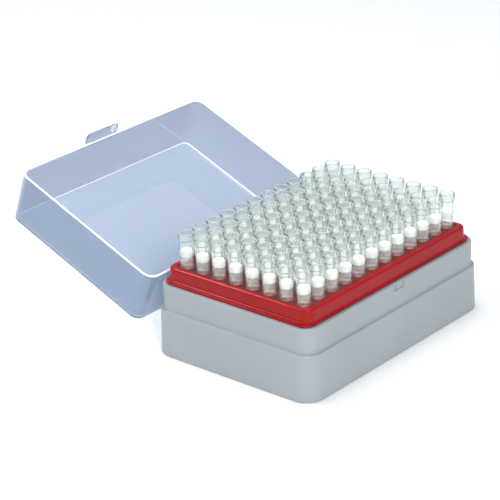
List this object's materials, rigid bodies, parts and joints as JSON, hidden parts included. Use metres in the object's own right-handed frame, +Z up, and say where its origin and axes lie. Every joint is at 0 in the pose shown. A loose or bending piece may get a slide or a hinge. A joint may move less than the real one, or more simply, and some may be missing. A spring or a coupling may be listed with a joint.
{
  "type": "pipette tip box",
  "caption": "Hinged laboratory box holding a lift-out rack of filter tips for a pipette, under a clear lid with a latch.",
  "frame": {"origin": "centre of the base's flat underside, on the surface the box stands on", "axes": "+Z up, X along the box's long side and the hinge, -Y to the front with the latch, +Y to the back where the open lid lies"},
  "size_m": [0.1222, 0.1716, 0.0688],
  "materials": {
    "grey_plastic": "moulded satin",
    "red_plastic": "moulded gloss",
    "clear_lid": "clear moulded",
    "clear_tips": "clear moulded",
    "filter": "porous matt"
  },
  "bodies": {
    "base": {"base_shell": "grey_plastic"},
    "lid": {"lid_shell": "clear_lid"},
    "rack": {"rack_plate": "red_plastic"},
    "tips_01": {"tips_col_01": "clear_tips", "filters_col_01": "filter"},
    "tips_02": {"tips_col_02": "clear_tips", "filters_col_02": "filter"},
    "tips_03": {"tips_col_03": "clear_tips", "filters_col_03": "filter"},
    "tips_04": {"tips_col_04": "clear_tips", "filters_col_04": "filter"},
    "tips_05": {"tips_col_05": "clear_tips", "filters_col_05": "filter"},
    "tips_06": {"tips_col_06": "clear_tips", "filters_col_06": "filter"},
    "tips_07": {"tips_col_07": "clear_tips", "filters_col_07": "filter"},
    "tips_08": {"tips_col_08": "clear_tips", "filters_col_08": "filter"},
    "tips_09": {"tips_col_09": "clear_tips", "filters_col_09": "filter"},
    "tips_10": {"tips_col_10": "clear_tips", "filters_col_10": "filter"},
    "tips_11": {"tips_col_11": "clear_tips", "filters_col_11": "filter"},
    "tips_12": {"tips_col_12": "clear_tips", "filters_col_12": "filter"}
  },
  "joints": [
    {"name": "lid_hinge", "type": "hinge", "parent": "base", "child": "lid", "pos_m": [0, 0.0427, 0.032], "axis": [-1, 0, 0], "range_deg": [-157.3, 0]},
    {"name": "rack_lift", "type": "slide", "parent": "base", "child": "rack", "axis": [0, 0, 1], "range_m": [0, 0.06]},
    {"name": "column_01_lift", "type": "slide", "parent": "rack", "child": "tips_01", "axis": [0, 0, 1], "range_m": [0, 0.06]},
    {"name": "column_02_lift", "type": "slide", "parent": "rack", "child": "tips_02", "axis": [0, 0, 1], "range_m": [0, 0.06]},
    {"name": "column_03_lift", "type": "slide", "parent": "rack", "child": "tips_03", "axis": [0, 0, 1], "range_m": [0, 0.06]},
    {"name": "column_04_lift", "type": "slide", "parent": "rack", "child": "tips_04", "axis": [0, 0, 1], "range_m": [0, 0.06]},
    {"name": "column_05_lift", "type": "slide", "parent": "rack", "child": "tips_05", "axis": [0, 0, 1], "range_m": [0, 0.06]},
    {"name": "column_06_lift", "type": "slide", "parent": "rack", "child": "tips_06", "axis": [0, 0, 1], "range_m": [0, 0.06]},
    {"name": "column_07_lift", "type": "slide", "parent": "rack", "child": "tips_07", "axis": [0, 0, 1], "range_m": [0, 0.06]},
    {"name": "column_08_lift", "type": "slide", "parent": "rack", "child": "tips_08", "axis": [0, 0, 1], "range_m": [0, 0.06]},
    {"name": "column_09_lift", "type": "slide", "parent": "rack", "child": "tips_09", "axis": [0, 0, 1], "range_m": [0, 0.06]},
    {"name": "column_10_lift", "type": "slide", "parent": "rack", "child": "tips_10", "axis": [0, 0, 1], "range_m": [0, 0.06]},
    {"name": "column_11_lift", "type": "slide", "parent": "rack", "child": "tips_11", "axis": [0, 0, 1], "range_m": [0, 0.06]},
    {"name": "column_12_lift", "type": "slide", "parent": "rack", "child": "tips_12", "axis": [0, 0, 1], "range_m": [0, 0.06]}
  ]
}
